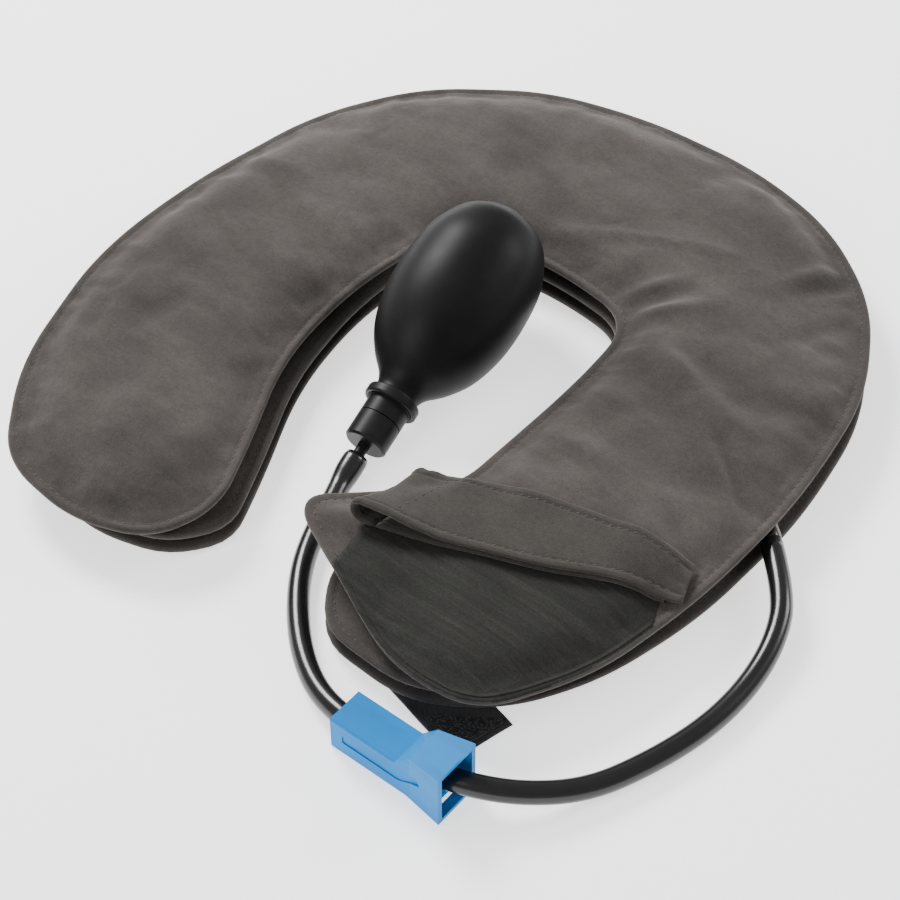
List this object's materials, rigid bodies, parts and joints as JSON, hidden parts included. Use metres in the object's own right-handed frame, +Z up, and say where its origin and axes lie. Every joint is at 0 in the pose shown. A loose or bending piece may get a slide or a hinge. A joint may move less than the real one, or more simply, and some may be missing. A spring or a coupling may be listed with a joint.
{
  "type": "inflatable neck traction collar",
  "caption": "U-shaped inflatable neck pillow of stacked velour-covered air layers, shown deflated, with a hand bulb, release valve, air hose, roller clamp and hook-and-loop straps.",
  "frame": {"origin": "centre of the deflated collar's outline, on the surface it lies on", "axes": "+Z up through the layers, +Y from the open ends of the U towards the back of the neck, +X towards the arm with the closure straps"},
  "size_m": [0.3128, 0.3131, 0.0586],
  "materials": {
    "velour": "brushed velour nap, mottled",
    "binding": "folded edge binding with a stitched line",
    "loop_fabric": "flat brushed loop fabric",
    "strap_fabric": "flat woven loop strap",
    "hook_tape": "fine hooks",
    "bladder_film": "matt coated film",
    "hose_rubber": "smooth, glossy",
    "bulb_rubber": "smooth, satin",
    "seal_rubber": "matt",
    "fitting": "moulded, satin",
    "ball_steel": "ground",
    "clamp_plastic": "moulded, glossy, slightly waxy"
  },
  "bodies": {
    "base": {"bottom_lower_panel": "velour", "bottom_bladder": "bladder_film", "bottom_rim_binding": "binding", "lower_strap_base": "strap_fabric", "bulb": "bulb_rubber", "bulb_neck_ring": "fitting", "valve_body": "fitting", "valve_seal": "seal_rubber", "hose_nipple": "fitting", "inlet_valve": "fitting", "air_hose": "hose_rubber", "clamp_housing": "clamp_plastic"},
    "lower_interface": {"bottom_upper_panel": "velour", "lower_air_rings": "bladder_film", "middle_lower_panel": "velour", "middle_bladder": "bladder_film", "middle_rim_binding": "binding", "hose_port": "fitting"},
    "upper_interface": {"middle_upper_panel": "velour", "upper_air_rings": "bladder_film", "top_lower_panel": "velour", "top_bladder": "bladder_film", "top_rim_binding": "binding"},
    "crown": {"top_upper_panel": "velour", "loop_end_panel": "loop_fabric", "upper_strap_base": "velour"},
    "strap_flap": {"upper_strap_flap": "velour", "upper_strap_hook_tape": "hook_tape"},
    "lower_tab": {"lower_strap_tab": "strap_fabric", "lower_strap_hook_tape": "hook_tape"},
    "knob": {"release_knob": "fitting"},
    "outlet_ball": {"outlet_check_ball": "ball_steel"},
    "inlet_ball": {"inlet_check_ball": "ball_steel"},
    "clamp_carriage": {"clamp_roller_axle": "clamp_plastic"},
    "roller": {"clamp_roller": "clamp_plastic"}
  },
  "joints": [
    {"name": "inflate_bottom", "type": "slide", "parent": "base", "child": "lower_interface", "axis": [0, 0, 1], "range_m": [0, 0.035], "deforming": ["bottom_bladder", "bottom_rim_binding"]},
    {"name": "inflate_middle", "type": "slide", "parent": "lower_interface", "child": "upper_interface", "axis": [0, 0, 1], "range_m": [0, 0.035], "deforming": ["middle_bladder", "middle_rim_binding"]},
    {"name": "inflate_top", "type": "slide", "parent": "upper_interface", "child": "crown", "axis": [0, 0, 1], "range_m": [0, 0.035], "deforming": ["top_bladder", "top_rim_binding"]},
    {"name": "upper_strap_fold", "type": "hinge", "parent": "crown", "child": "strap_flap", "pos_m": [0.033, -0.0815, 0.0233], "axis": [-0.0367, -0.9993, 0], "range_deg": [0, 165]},
    {"name": "lower_strap_lift", "type": "hinge", "parent": "base", "child": "lower_tab", "pos_m": [0.09925, -0.12374, 0.0014], "axis": [-0.8063, -0.5915, 0], "range_deg": [0, 40]},
    {"name": "release_knob_turn", "type": "hinge", "parent": "base", "child": "knob", "pos_m": [-0.0012, -0.0372, 0.0142], "axis": [0.1248, -0.9481, -0.2924], "range_deg": [0, 270]},
    {"name": "outlet_ball_lift", "type": "slide", "parent": "base", "child": "outlet_ball", "axis": [0.1248, -0.9481, -0.2924], "range_m": [0, 0.0016]},
    {"name": "inlet_ball_lift", "type": "slide", "parent": "base", "child": "inlet_ball", "axis": [0.1248, -0.9481, -0.2924], "range_m": [0, 0.0016]},
    {"name": "clamp_roller_slide", "type": "slide", "parent": "base", "child": "clamp_carriage", "axis": [-0.995, 0, 0.0995], "range_m": [0, 0.02412], "deforming": ["air_hose"]},
    {"name": "clamp_roller_spin", "type": "hinge", "parent": "clamp_carriage", "child": "roller", "pos_m": [0.114, -0.1518, 0.0038], "axis": [0, 1, 0], "range_deg": [0, 420.8]}
  ],
  "couplings": [
    {"joint": "inflate_middle", "follows": "inflate_bottom", "ratio": 1},
    {"joint": "inflate_top", "follows": "inflate_bottom", "ratio": 1},
    {"joint": "clamp_roller_spin", "follows": "clamp_roller_slide", "rad_per_m": 303.03}
  ]
}
